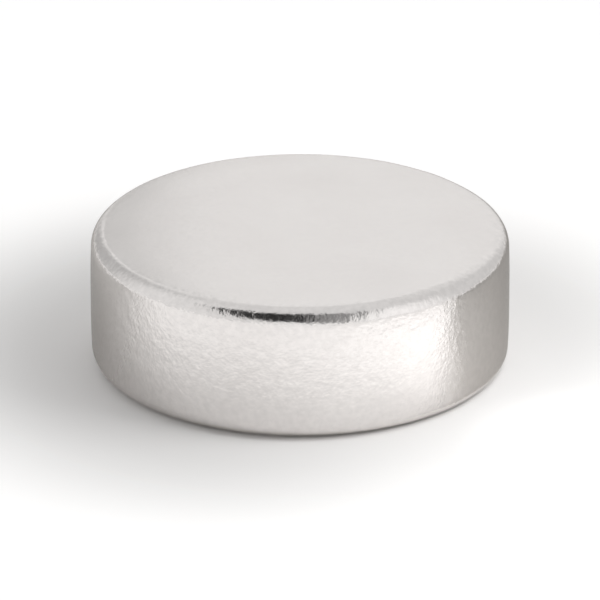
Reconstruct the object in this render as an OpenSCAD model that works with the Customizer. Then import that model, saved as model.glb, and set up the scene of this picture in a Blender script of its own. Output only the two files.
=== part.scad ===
// Disc magnet: a round pill of sintered magnet under one bright plated skin.
// It lies on its lower face, with its axis up and the origin at that face's centre.

/* [Disc] */
// Diameter across the rim
disc_d = 15; // [6:0.5:40]
// Thickness from face to face
disc_t = 5; // [2:0.5:15]

/* [Edges] */
// Radius of the tumbled edge between each face and the rim
edge_r = 0.6; // [0.1:0.05:0.9]

/* [Hidden] */

// Out to the rim, and out to where each flat face ends
rim_r = disc_d / 2;
face_r = rim_r - edge_r;

// Height of the straight, ground band of the rim between the two edges
band_h = disc_t - 2 * edge_r;

// Steps round the disc, and round each edge
rim_steps = 180;
edge_steps = 64;

// Half of the disc's section, from its axis out to the rim. Tumbling turns both
// corners into the same arc, which leaves the faces flat and the band straight.
module half_section() {
    square([face_r, disc_t]);
    translate([0, edge_r])
        square([rim_r, band_h]);
    for (edge_z = [edge_r, disc_t - edge_r])
        translate([face_r, edge_z])
            circle(r = edge_r, $fn = edge_steps);
}

// The disc is pressed, ground and tumbled as one piece, so it is one turned solid
module magnet_disc() {
    color("#DAD8D5")
        rotate_extrude($fn = rim_steps)
            half_section();
}

magnet_disc();
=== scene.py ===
# %% [markdown]
# # A disc magnet in nickel plate
#
# The real magnet is one piece. Metal powder is pressed and baked into a hard pill, the pill is ground flat
# and round, it is tumbled with stones until its edges are no longer sharp, and it is plated all over with
# nickel.
#
# This lesson follows the same order: a plain cylinder is made to size, its edges are rounded, tumbling
# wears them unevenly, and the nickel goes on last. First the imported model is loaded. It says how large the
# magnet is and where it lies, so nothing below has to be fitted by eye.

# %% Load the frame
import math

import bmesh
import bpy
from mathutils import Matrix, Vector, noise


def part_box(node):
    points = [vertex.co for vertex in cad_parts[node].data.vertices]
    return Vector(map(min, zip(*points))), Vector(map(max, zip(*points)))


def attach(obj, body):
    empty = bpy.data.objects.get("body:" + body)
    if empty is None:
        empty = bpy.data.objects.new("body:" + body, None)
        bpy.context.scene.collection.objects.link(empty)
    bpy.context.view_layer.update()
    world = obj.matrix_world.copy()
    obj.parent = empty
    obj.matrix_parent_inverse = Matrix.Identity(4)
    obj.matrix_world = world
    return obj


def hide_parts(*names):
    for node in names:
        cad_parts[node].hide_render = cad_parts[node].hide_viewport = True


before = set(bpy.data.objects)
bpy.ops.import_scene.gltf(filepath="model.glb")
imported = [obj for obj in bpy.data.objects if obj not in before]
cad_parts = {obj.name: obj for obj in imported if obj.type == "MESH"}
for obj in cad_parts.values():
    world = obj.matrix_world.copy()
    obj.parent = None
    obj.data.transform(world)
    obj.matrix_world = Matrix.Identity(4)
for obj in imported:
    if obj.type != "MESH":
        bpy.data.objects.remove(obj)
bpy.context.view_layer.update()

MM = 0.001
low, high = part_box("magnet_disc")
DISC_RADIUS = (high.x - low.x) / 2
DISC_THICKNESS = high.z - low.z
print(f"disc: {2 * DISC_RADIUS / MM:.2f} mm across, {DISC_THICKNESS / MM:.2f} mm thick")

# %% [markdown]
# ## Directions and colours
#
# The camera and the lamps all look at the magnet from somewhere round it. Each place is easiest to think of
# as two angles: how far round it stands, and how high. One function turns those angles into a direction.
#
# Colours are picked as they look on a screen and written as hex, while a shader wants the amount of light.
# The two differ: the mid grey of a screen gives only a fifth of the light of white. A second function does
# that sum.

# %% Turn angles into directions, and hex colours into light
def direction(turn, rise):
    """The direction of something so many degrees round from the front, and so many degrees up."""
    turn, rise = math.radians(turn), math.radians(rise)
    return Vector((math.sin(turn) * math.cos(rise), -math.cos(turn) * math.cos(rise), math.sin(rise)))


def light_of(hex_colour):
    """Linear RGBA of an sRGB hex colour such as #C8C8C8."""
    channels = [int(hex_colour[i:i + 2], 16) / 255 for i in (1, 3, 5)]
    return [c / 12.92 if c <= 0.04045 else ((c + 0.055) / 1.055) ** 2.4 for c in channels] + [1.0]


print("#808080 gives", round(light_of("#808080")[0], 2), "of the light of white")

# %% [markdown]
# ## The camera
#
# The photograph was taken with a long lens from well back, so the far side of the disc looks as large as
# the near side. A short lens close by could look down at the same angle, but its ellipse would be fatter in
# front than behind. So the lens is long here too, and its distance follows from how much the picture has to
# hold.

# %% Set up the camera
CAMERA_TURN = -25
CAMERA_RISE = 23.5
LENS = 480
SENSOR = 36
PICTURE_WIDTH = 21.5 * MM
AIM_HEIGHT = 2.2 * MM

aim = Vector((0, 0, AIM_HEIGHT))
camera_distance = PICTURE_WIDTH * LENS / SENSOR
camera = bpy.data.objects.new("camera", bpy.data.cameras.new("camera"))
camera.data.lens = LENS
camera.data.sensor_width = SENSOR
camera.location = aim + direction(CAMERA_TURN, CAMERA_RISE) * camera_distance
camera.rotation_euler = direction(CAMERA_TURN, CAMERA_RISE).to_track_quat("Z", "Y").to_euler()
bpy.context.scene.collection.objects.link(camera)
bpy.context.scene.camera = camera
bpy.context.scene.view_settings.view_transform = "Standard"
print(f"camera: {camera_distance / MM:.0f} mm away")

# %% [markdown]
# ## Building materials from nodes
#
# Every surface here is drawn by shader nodes. To add one, set it and link it takes several lines each time,
# so one function does all three. An input takes a number, a colour, one output of another node, or the node
# itself, which stands for its first output.

# %% Add a node
def add(tree, kind, inputs=None, **settings):
    """A new node with its settings made, and each input set to a value or linked to what is given."""
    node = tree.nodes.new(kind)
    for name, value in settings.items():
        setattr(node, name, value)
    for name, value in (inputs or {}).items():
        if isinstance(value, bpy.types.Node):
            value = next(output for output in value.outputs if output.enabled)
        if isinstance(value, bpy.types.NodeSocket):
            tree.links.new(value, node.inputs[name])
        else:
            node.inputs[name].default_value = value
    return node


def empty_tree(owner):
    """The node tree of a material or a world, with nothing in it."""
    owner.use_nodes = True
    owner.node_tree.nodes.clear()
    return owner.node_tree


# %% [markdown]
# ## The white paper
#
# Product photographs stand small things on white paper. Matt paper scatters light evenly, which a Diffuse
# shader does, and it grows darker where the magnet keeps the light off it. Farther away the photographed
# paper is pure white. More light could do that, but it would burn out the metal as well. So the paper glows
# a little instead, and only for rays that come from the camera, off metal or through glass.
#
# The glow is nothing near the magnet and grows away from it, so that the shadow is left alone. The paper
# near the magnet is therefore darker than farther off, partly its real shadow and partly painted shade
# where the glow is missing, and the rim shows that too.

# %% Make the paper
PAPER = light_of("#F4F3F2")
PAPER_GLOW = 0.38
GLOW_START = 1.2 * DISC_RADIUS
GLOW_FULL = 2.4 * DISC_RADIUS

paper = bpy.data.materials.new("matt_white_paper")
tree = empty_tree(paper)
path = add(tree, "ShaderNodeLightPath")
seen = add(tree, "ShaderNodeMath", {0: path.outputs["Is Camera Ray"], 1: path.outputs["Is Glossy Ray"]})
seen = add(tree, "ShaderNodeMath", {0: seen, 1: path.outputs["Is Transmission Ray"]})
place = add(tree, "ShaderNodeTexCoord").outputs["Object"]
away = add(tree, "ShaderNodeVectorMath", {0: place}, operation="LENGTH")
# Painted shade round the magnet: no glow near it, the full glow farther off.
glow = add(tree, "ShaderNodeMapRange", {
    "Value": away,
    "From Min": GLOW_START,
    "From Max": GLOW_FULL,
    "To Max": PAPER_GLOW,
}, interpolation_type="SMOOTHSTEP")
glow = add(tree, "ShaderNodeMath", {0: seen, 1: glow}, operation="MULTIPLY")
matt = add(tree, "ShaderNodeBsdfDiffuse", {"Color": PAPER})
shine = add(tree, "ShaderNodeEmission", {"Strength": glow})
both = add(tree, "ShaderNodeAddShader", {0: matt, 1: shine})
add(tree, "ShaderNodeOutputMaterial", {"Surface": both})
print(f"paper: full glow from {GLOW_FULL / MM:.0f} mm away")

# %% Lay the floor
FLOOR_SIDE = 4.0

shape = bmesh.new()
bmesh.ops.create_grid(shape, x_segments=1, y_segments=1, size=FLOOR_SIDE / 2)
floor = bpy.data.objects.new("floor", bpy.data.meshes.new("floor"))
shape.to_mesh(floor.data)
shape.free()
floor.data.materials.append(paper)
bpy.context.scene.collection.objects.link(floor)
print(f"floor: {FLOOR_SIDE} m square")

# %% [markdown]
# ## The tent
#
# Bare metal has hardly any colour of its own. It shows the room, so the room is drawn with care: a tent of
# white cloth with a slit for the camera. The flat face shows the wall behind the magnet. The rounded edge
# in front looks back at the slit, which draws the short black streak that bright metal has in photographs.
#
# The tent could be built from planes. Here it is the world itself, shaded by direction, so that it takes no
# room and never comes into the picture. A direction is described by how far it leans a certain way, such as
# up, or across the picture. The dot product of the direction and that way gives the lean.
#
# The slit isn't quite upright. Its foot rises to the left and its front turns that way too, so that the
# streak tapers to the left, as the photographed one does. It takes one slanting lean for each.

# %% Find the leans of a direction
RIGHTWARD = CAMERA_TURN + 90
BACKWARD = CAMERA_TURN + 180
SLIT_TURN = CAMERA_TURN - 14
FOOT_SLANT = 65

world = bpy.data.worlds.new("white_tent")
bpy.context.scene.world = world
tree = empty_tree(world)
look = add(tree, "ShaderNodeTexCoord").outputs["Generated"]
ways = [
    Vector((0, 0, 1)),
    direction(RIGHTWARD, 0),
    direction(RIGHTWARD, FOOT_SLANT),
    direction(SLIT_TURN, 0),
    direction(BACKWARD, 0),
]
leans = [add(tree, "ShaderNodeVectorMath", {0: look, 1: way}, operation="DOT_PRODUCT") for way in ways]
up, across, foot, front, back = leans
print("tent:", len(leans), "leans")

# %% [markdown]
# ### Its walls
#
# Each part of the tent fades from one level of light to another between two leans, which are written as
# angles. White is a level of 1. Fades that hold together, such as the four sides of the slit, are
# multiplied.
#
# The side walls are bright beside the camera and greyer behind the magnet. The rounded edge shows them, and
# so it is brightest in front and falls to grey at both ends.

# %% Fade from one level to another
def fades(*steps):
    """Several fades multiplied, each one a lean, two angles, and the levels before and after them."""
    level = 1.0
    for lean, start, end, first, last in steps:
        fade = add(tree, "ShaderNodeMapRange", {
            "Value": lean,
            "From Min": math.sin(math.radians(start)),
            "From Max": math.sin(math.radians(end)),
            "To Min": first,
            "To Max": last,
        }, interpolation_type="SMOOTHSTEP")
        level = add(tree, "ShaderNodeMath", {0: level, 1: fade}, operation="MULTIPLY")
    return level


# %% Shade the walls and the slit
ROOF = (up, 30, 49, 1, 0.80)
LEFT_SIDE = (across, -25, -10, 1, 0)
LEFT_WALL = (back, 8, 46, 0.88, 0.56)
RIGHT_SIDE = (across, 22, 40, 0, 1)
RIGHT_WALL = (back, -27, 6, 1.15, 0.74)
SLIT_LEFT = (across, -34, -30, 0, 1)
SLIT_RIGHT = (across, 22, 34, 1, 0)
SLIT_FOOT = (foot, 5, 17, 0, 1)
SLIT_FRONT = (front, 10, 21, 0, 1)
SLIT_DARKNESS = (across, 0, 7, 0.02, 0.28)

cloth = fades(ROOF)
for side, wall in ((LEFT_SIDE, LEFT_WALL), (RIGHT_SIDE, RIGHT_WALL)):
    cloth = add(tree, "ShaderNodeMix", {"Factor": fades(side), "A": cloth, "B": fades(wall)},
                data_type="FLOAT")
slit = fades(SLIT_LEFT, SLIT_RIGHT, SLIT_FOOT, SLIT_FRONT)
tent = add(tree, "ShaderNodeMix", {"Factor": slit, "A": cloth, "B": fades(SLIT_DARKNESS)}, data_type="FLOAT")
print("tent: the slit has", SLIT_DARKNESS[3], "of the light of the cloth at its darkest")

# %% [markdown]
# Below the horizon the tent is as white as the paper. A view from low down sees past the end of the floor,
# and would find a dark band there otherwise.

# %% Whiten the tent below the horizon
BELOW_HORIZON = (up, -0.5, 0, 1, 0)

tent = add(tree, "ShaderNodeMix", {"Factor": fades(BELOW_HORIZON), "A": tent, "B": 1.0}, data_type="FLOAT")
sky = add(tree, "ShaderNodeBackground", {"Color": (1, 1, 1, 1), "Strength": tent})
add(tree, "ShaderNodeOutputWorld", {"Surface": sky})
print("world:", len(tree.nodes), "nodes")

# %% [markdown]
# ## Things that only the metal shows
#
# Photographers place cards round bright metal, to give it something to reflect, and keep them out of the
# picture. A card and a film are needed here, and both would be in the way. So they are left out of every
# ray but those off the metal: they aren't seen, they light nothing, and they throw no shadow on the paper.

# %% Put something on the stage for the metal alone
def for_metal_only(name, shape, material):
    """An object of the stage made from the shape, which nothing but a reflection shows."""
    thing = bpy.data.objects.new(name, bpy.data.meshes.new(name))
    shape.to_mesh(thing.data)
    shape.free()
    thing.data.materials.append(material)
    thing.visible_camera = False
    thing.visible_diffuse = False
    thing.visible_shadow = False
    bpy.context.scene.collection.objects.link(thing)
    return thing


# %% [markdown]
# ### A card behind the magnet
#
# The face is a flat mirror. It shows one small patch of what is behind the magnet and takes its tone from
# there, and the photographed face grows darker towards its left end. The tent can't do that, because seen
# from everywhere on the face it lies in nearly the same direction. A thing close by can, so a card stands
# there, white like the tent on the right and grey on the left.

# %% Grade the card
# The card glows by itself, like the tent: its grey end is painted shade in the face's reflection, on its
# left.
CARD_GREY = 0.74
GREY_END = -9 * MM
WHITE_START = -3.5 * MM

graded = bpy.data.materials.new("graded_card")
tree = empty_tree(graded)
place = add(tree, "ShaderNodeTexCoord").outputs["Object"]
place = add(tree, "ShaderNodeSeparateXYZ", {"Vector": place})
tone = add(tree, "ShaderNodeMapRange", {
    "Value": place.outputs["X"],
    "From Min": GREY_END,
    "From Max": WHITE_START,
    "To Min": CARD_GREY,
}, interpolation_type="SMOOTHSTEP")
tone = add(tree, "ShaderNodeEmission", {"Strength": tone})
add(tree, "ShaderNodeOutputMaterial", {"Surface": tone})
print(f"card: {CARD_GREY} of white at its left end")

# %% Stand the card up
CARD_SIDE = 32 * MM
CARD_HEIGHT = 23 * MM
CARD_DISTANCE = 45 * MM

shape = bmesh.new()
bmesh.ops.create_grid(shape, x_segments=1, y_segments=1, size=CARD_SIDE / 2)
card = for_metal_only("card", shape, graded)
card.location = Vector((0, 0, CARD_HEIGHT)) - direction(CAMERA_TURN, 0) * CARD_DISTANCE
card.rotation_euler = direction(CAMERA_TURN, 0).to_track_quat("Z", "Y").to_euler()
print(f"card: {CARD_DISTANCE / MM:.0f} mm behind the magnet")

# %% [markdown]
# ### A film of painted shade round the magnet
#
# Round metal looks round when its ends are darker than its middle. The photographed rim falls to grey past
# its brightest band on the right, and darkens slowly towards the left. The ends of the rim show the paper
# beside and behind the magnet, so a ring of film lies on the paper, clear nearly all round, with a grey
# patch of painted shade on each side, which the rim shows as its darker ends. The painted shade deepens bit
# by bit, because the rim would show a hard border as a line.
#
# Five numbers describe a patch: where its shade starts and where it is full across the picture, the same
# two places going away from the camera, all in millimetres, and how deep the painted shade gets.

# %% Place the painted shade
# Painted shade: grey patches on the film, which the rim shows as its darker ends.
RIGHT_PATCH = (-2, 4, -7.0, -3.6, 1.0)
LEFT_PATCH = (1, -7, -9.0, 3.0, 0.7)

shade_film_material = bpy.data.materials.new("painted_shade_film")
tree = empty_tree(shade_film_material)
place = add(tree, "ShaderNodeTexCoord").outputs["Object"]
place = add(tree, "ShaderNodeSeparateXYZ", {"Vector": place})
painted_shade = 0.0
for side_clear, side_full, back_clear, back_full, thickness in (RIGHT_PATCH, LEFT_PATCH):
    beside = add(tree, "ShaderNodeMapRange", {
        "Value": place.outputs["X"],
        "From Min": side_clear * MM,
        "From Max": side_full * MM,
    }, interpolation_type="SMOOTHSTEP")
    behind = add(tree, "ShaderNodeMapRange", {
        "Value": place.outputs["Y"],
        "From Min": back_clear * MM,
        "From Max": back_full * MM,
        "To Max": thickness,
    }, interpolation_type="SMOOTHSTEP")
    patch = add(tree, "ShaderNodeMath", {0: beside, 1: behind}, operation="MULTIPLY")
    painted_shade = add(tree, "ShaderNodeMath", {0: painted_shade, 1: patch})
print(f"film: smoke up to {RIGHT_PATCH[4]} thick on the right and {LEFT_PATCH[4]} on the left")

# %% [markdown]
# Mixing a Transparent shader with a grey one, by the depth of the painted shade, makes the film. Painting
# the paper grey would do the same for the rim, but the picture would show it as well.

# %% Mix clear film and painted shade
# The grey of the painted shade.
PAINTED_SHADE_GREY = light_of("#C7C5C2")

clear = add(tree, "ShaderNodeBsdfTransparent")
grey = add(tree, "ShaderNodeBsdfDiffuse", {"Color": PAINTED_SHADE_GREY})
mixed = add(tree, "ShaderNodeMixShader", {0: painted_shade, 1: clear, 2: grey})
add(tree, "ShaderNodeOutputMaterial", {"Surface": mixed})
print("film:", len(tree.nodes), "nodes")

# %% Lay the film
FILM_SIDES = 90
FILM_RADIUS = 60 * MM
FILM_HOLE = 1.01 * DISC_RADIUS
FILM_HEIGHT = 0.02 * MM

shape = bmesh.new()
bmesh.ops.create_cone(shape, cap_ends=False, segments=FILM_SIDES, radius1=FILM_RADIUS, radius2=FILM_HOLE,
                      depth=0)
# The film holds the painted shade, and only the metal shows it.
film = for_metal_only("film", shape, shade_film_material)
film.location.z = FILM_HEIGHT
film.rotation_euler.z = math.radians(CAMERA_TURN)
print(f"film: {2 * FILM_RADIUS / MM:.0f} mm across")

# %% [markdown]
# ## Two lamps
#
# The rim shows the paper beside it, within a magnet's width, so the rim is lit by lighting the paper. A
# softbox close by on the right makes the paper there bright, leaves the left in shadow and shades the rim
# from one end to the other. A snoot, which is a lamp in a tube, adds a small pool of light, and the rim
# shows that as its brightest band.
#
# A lamp that the metal shows as well would burn a white spot into its edge. In a studio a black card hides
# the lamp from the metal, and in Blender the lamp is left out of glossy rays.
#
# The softbox's watts follow from its area and from its level, which is how bright its cloth looks beside
# white.

# %% Hang a lamp
def hang(lamp, target, away, distance):
    """Put a lamp that far from its target, turned towards it, and hide it from the camera and the metal."""
    holder = bpy.data.objects.new(lamp.name, lamp)
    holder.location = target + away * distance
    holder.rotation_euler = away.to_track_quat("Z", "Y").to_euler()
    holder.visible_camera = False
    holder.visible_glossy = False
    bpy.context.scene.collection.objects.link(holder)
    print(f"{lamp.name}: {distance / MM:.0f} mm away, {lamp.energy * 1000:.1f} mW")


# %% Light the paper with a softbox
SOFTBOX_SIDE = 10 * MM
SOFTBOX_LEVEL = 4.5
SOFTBOX_AWAY = direction(CAMERA_TURN + 50, 42)
SOFTBOX_DISTANCE = 20 * MM

softbox = bpy.data.lights.new("softbox", "AREA")
softbox.size = SOFTBOX_SIDE
softbox.energy = SOFTBOX_LEVEL * math.pi * SOFTBOX_SIDE ** 2
hang(softbox, Vector(), SOFTBOX_AWAY, SOFTBOX_DISTANCE)

# %% Add a pool of light with a snoot
POOL_TURN = CAMERA_TURN + 55
POOL_DISTANCE = 12 * MM
SNOOT_ANGLE = 7
SNOOT_BLEND = 0.3
SNOOT_WIDTH = 2 * MM
SNOOT_AWAY = direction(CAMERA_TURN + 85, 70)
SNOOT_DISTANCE = 60 * MM
SNOOT_WATTS = 0.020

snoot = bpy.data.lights.new("snoot", "SPOT")
snoot.energy = SNOOT_WATTS
snoot.spot_size = math.radians(SNOOT_ANGLE)
snoot.spot_blend = SNOOT_BLEND
snoot.shadow_soft_size = SNOOT_WIDTH / 2
pool = direction(POOL_TURN, 0) * POOL_DISTANCE
hang(snoot, pool, SNOOT_AWAY, SNOOT_DISTANCE)

# %% [markdown]
# ## The disc
#
# The pill starts as a cylinder with sharp edges, and tumbling with stones wears both edges round. The same
# two steps work here: a cylinder, then a bevel of both edge loops. Turning a profile round the axis would
# give the same form, but a bevel says what was done to the real one.

# %% Make the pill and round its edges
SIDES = 360
EDGE_RADIUS = 0.6 * MM
EDGE_STEPS = 16

shape = bmesh.new()
bmesh.ops.create_cone(shape, cap_ends=True, segments=SIDES, radius1=DISC_RADIUS, radius2=DISC_RADIUS,
                      depth=DISC_THICKNESS, matrix=Matrix.Translation((0, 0, DISC_THICKNESS / 2)))
corners = [edge for edge in shape.edges if any(len(face.verts) == SIDES for face in edge.link_faces)]
bmesh.ops.bevel(shape, geom=corners, offset=EDGE_RADIUS, offset_type="OFFSET", affect="EDGES",
                segments=EDGE_STEPS, profile=0.5, material=-1)
print(f"pill: {len(corners)} sharp edges rounded to {EDGE_RADIUS / MM} mm")

# %% [markdown]
# Wear moves points, and there are none yet on the straight band of the rim or inside the two faces. The
# upright edges of the band are cut into rows. Each face is one polygon with hundreds of corners, so narrow
# rings are inset from its rim, as far in as the wear reaches. The middle stays one flat polygon.

# %% Add points where the wear will reach
BAND_ROWS = 24
FACE_RINGS = 5
RING_WIDTH = 0.25 * MM

upright = [edge for edge in shape.edges if edge.calc_length() > DISC_THICKNESS / 2]
bmesh.ops.subdivide_edges(shape, edges=upright, cuts=BAND_ROWS - 1, use_grid_fill=True)
flats = [face for face in shape.faces if len(face.verts) == SIDES]
for ring in range(FACE_RINGS):
    bmesh.ops.inset_individual(shape, faces=flats, thickness=RING_WIDTH)
print(f"disc: {len(shape.faces)} faces, {len(flats)} of them flat and round")

# %% [markdown]
# ## The marks of tumbling
#
# Stones wear a corner most, less and less away from it, and never quite alike all the way round. So each
# point moves inward by an amount that fades with its distance from the sharp corner that was there, and
# that wanders a little. The rounded edge then runs out into the face and the band, where a plain bevel
# stops at a line.
#
# How hard each point was rubbed is kept as an attribute, which is a value that a mesh holds for every
# point. The nickel reads it later, because the blows that rounded the edge also dulled it.

# %% Wear the edges
EDGE_WEAR = 0.045 * MM
WEAR_REACH = 1.0 * MM
WEAR_PATCH = 1.6 * MM
WEAR_WANDER = 0.25

shape.normal_update()
rubbed = []
for point in shape.verts:
    from_rim = DISC_RADIUS - math.hypot(point.co.x, point.co.y)
    from_face = min(point.co.z, DISC_THICKNESS - point.co.z)
    rubbed.append(math.exp(-(from_rim ** 2 + from_face ** 2) / WEAR_REACH ** 2))
wander = [1 + WEAR_WANDER * noise.noise(point.co / WEAR_PATCH) for point in shape.verts]
depths = [EDGE_WEAR * rub * more for rub, more in zip(rubbed, wander)]
for point, depth in zip(shape.verts, depths):
    point.co -= point.normal * depth
for face in shape.faces:
    face.smooth = True
print(f"wear: {max(depths) / MM:.3f} mm at the deepest")

# %% Turn the shape into an object
disc = bpy.data.objects.new("nickel_disc", bpy.data.meshes.new("nickel_disc"))
shape.to_mesh(disc.data)
shape.free()
disc.data.attributes.new("rubbed", "FLOAT", "POINT").data.foreach_set("value", rubbed)
bpy.context.scene.collection.objects.link(disc)
print(f"nickel_disc: {len(disc.data.vertices)} points")

# %% [markdown]
# ## The nickel plate
#
# Nickel plate over a tumbled pill is bright but not a mirror. It is a satin metal, a little warmer than
# steel, and its faces, which were ground, show less grain than its rim.
#
# The nodes below need to know where on the disc they are. Object coordinates are in metres, so they are
# scaled to millimetres first, and every size after that is a real one. The distance from the axis tells a
# face from the rim.

# %% Find the place on the disc
FACE_END = 6.6
RIM_START = 7.2

plate = bpy.data.materials.new("satin_nickel_plate")
tree = empty_tree(plate)
place = add(tree, "ShaderNodeTexCoord").outputs["Object"]
in_mm = add(tree, "ShaderNodeMapping", {"Vector": place, "Scale": (1 / MM, 1 / MM, 1 / MM)})
flat = add(tree, "ShaderNodeVectorMath", {0: in_mm, 1: Vector((1, 1, 0))}, operation="MULTIPLY")
from_axis = add(tree, "ShaderNodeVectorMath", {0: flat}, operation="LENGTH")
on_rim = add(tree, "ShaderNodeMapRange", {"Value": from_axis, "From Min": FACE_END, "From Max": RIM_START},
             interpolation_type="SMOOTHSTEP")
print(f"plate: the faces end {FACE_END} mm from the axis")

# %% [markdown]
# ### Its grain
#
# The powder's own grains are a hundredth of a millimetre, too fine to show. What shows is the skin that
# tumbling leaves, like orange peel: dimples about a third of a millimetre wide, and finer ones between
# them. Two noise textures give the two sizes, and Bump turns them into small tilts of the surface, which is
# cheaper than real dimples. Ground faces have far less of it.

# %% Raise the grain
BROAD_GRAIN = 0.33
FINE_GRAIN = 0.12
BROAD_DEPTH = 0.018 * MM
FINE_DEPTH = 0.011 * MM
DETAIL = 2.0
FINE_DETAIL = 1.5
FACE_SHARE = 0.15

strength = add(tree, "ShaderNodeMapRange", {"Value": on_rim, "To Min": FACE_SHARE, "To Max": 1.0})
broad = add(tree, "ShaderNodeTexNoise", {"Vector": in_mm, "Scale": 1 / BROAD_GRAIN, "Detail": DETAIL})
fine = add(tree, "ShaderNodeTexNoise", {"Vector": in_mm, "Scale": 1 / FINE_GRAIN, "Detail": FINE_DETAIL})
grain = add(tree, "ShaderNodeBump", {"Height": broad, "Distance": BROAD_DEPTH, "Strength": strength})
grain = add(tree, "ShaderNodeBump", {"Height": fine, "Distance": FINE_DEPTH, "Strength": strength,
                                     "Normal": grain})
print(f"grain: {BROAD_GRAIN} mm and {FINE_GRAIN} mm wide")

# %% [markdown]
# ### Its colour
#
# Bare nickel sends back about two thirds of the light, a little less of the blue. The photograph is exposed
# so that it looks paler, so the plate is paler here too. Over the whole disc the colour drifts between two
# close shades, as plate of uneven thickness does. A finer mottle, about as wide as the grain, makes it a
# touch darker or lighter from place to place.

# %% Colour the plate
NICKEL_LIGHT = light_of("#EAE7E5")
NICKEL_DEEP = light_of("#E2DEDC")
DRIFT = 3.0
MOTTLE = 0.22
MOTTLE_DARK = 0.955
MOTTLE_LIGHT = 1.02
NOISE_LOW = 0.3
NOISE_HIGH = 0.7

drift = add(tree, "ShaderNodeTexNoise", {"Vector": in_mm, "Scale": 1 / DRIFT, "Detail": DETAIL})
colour = add(tree, "ShaderNodeMix", {"Factor": drift, "A": NICKEL_LIGHT, "B": NICKEL_DEEP}, data_type="RGBA")
mottle = add(tree, "ShaderNodeTexNoise", {"Vector": in_mm, "Scale": 1 / MOTTLE, "Detail": DETAIL})
mottle = add(tree, "ShaderNodeMapRange", {
    "Value": mottle,
    "From Min": NOISE_LOW,
    "From Max": NOISE_HIGH,
    "To Min": MOTTLE_DARK,
    "To Max": MOTTLE_LIGHT,
}, interpolation_type="SMOOTHSTEP")
mottle = add(tree, "ShaderNodeMix", {"Factor": strength, "A": 1.0, "B": mottle}, data_type="FLOAT")
colour = add(tree, "ShaderNodeVectorMath", {0: colour, "Scale": mottle}, operation="SCALE")
print("colour:", [round(channel, 2) for channel in NICKEL_LIGHT[:3]], "of the light comes back")

# %% [markdown]
# ### Its gloss
#
# A ground face, a rim and a rubbed edge differ in gloss, and within each the gloss is a little uneven.
# Roughness starts from that of satin nickel, about 0.2, and is mixed by place and by how hard the point was
# rubbed.

# %% Set the gloss
FACE_ROUGHNESS = 0.18
RIM_ROUGHNESS = 0.16
EDGE_ROUGHNESS = 0.20
UNEVEN = 0.15

rub = add(tree, "ShaderNodeAttribute", attribute_name="rubbed").outputs["Fac"]
rough = add(tree, "ShaderNodeMix", {"Factor": on_rim, "A": FACE_ROUGHNESS, "B": RIM_ROUGHNESS},
            data_type="FLOAT")
rough = add(tree, "ShaderNodeMix", {"Factor": rub, "A": rough, "B": EDGE_ROUGHNESS}, data_type="FLOAT")
uneven = add(tree, "ShaderNodeMapRange", {
    "Value": fine,
    "From Min": NOISE_LOW,
    "From Max": NOISE_HIGH,
    "To Min": 1 - UNEVEN,
    "To Max": 1 + UNEVEN,
}, interpolation_type="SMOOTHSTEP")
rough = add(tree, "ShaderNodeMath", {0: rough, 1: uneven}, operation="MULTIPLY")
print(f"gloss: roughness {FACE_ROUGHNESS} on the faces, {RIM_ROUGHNESS} on the rim")

# %% [markdown]
# ### The metal itself
#
# A metal is the Principled shader at full Metallic. At a glancing angle the shader turns any metal white,
# and real nickel falls short of that, which Specular Tint allows for. Without it the ends of the rim would
# look like china.

# %% Put the plate together
GLANCING = light_of("#E6E5E4")

metal = add(tree, "ShaderNodeBsdfPrincipled", {
    "Base Color": colour,
    "Metallic": 1.0,
    "Roughness": rough,
    "Specular Tint": GLANCING,
    "Normal": grain,
})
add(tree, "ShaderNodeOutputMaterial", {"Surface": metal})
disc.data.materials.append(plate)
print("plate:", len(tree.nodes), "nodes")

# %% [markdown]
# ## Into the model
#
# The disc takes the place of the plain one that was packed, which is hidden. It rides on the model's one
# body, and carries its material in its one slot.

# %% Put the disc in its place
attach(disc, "root")
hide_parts("magnet_disc")
print(f"{disc.name} rides on root")
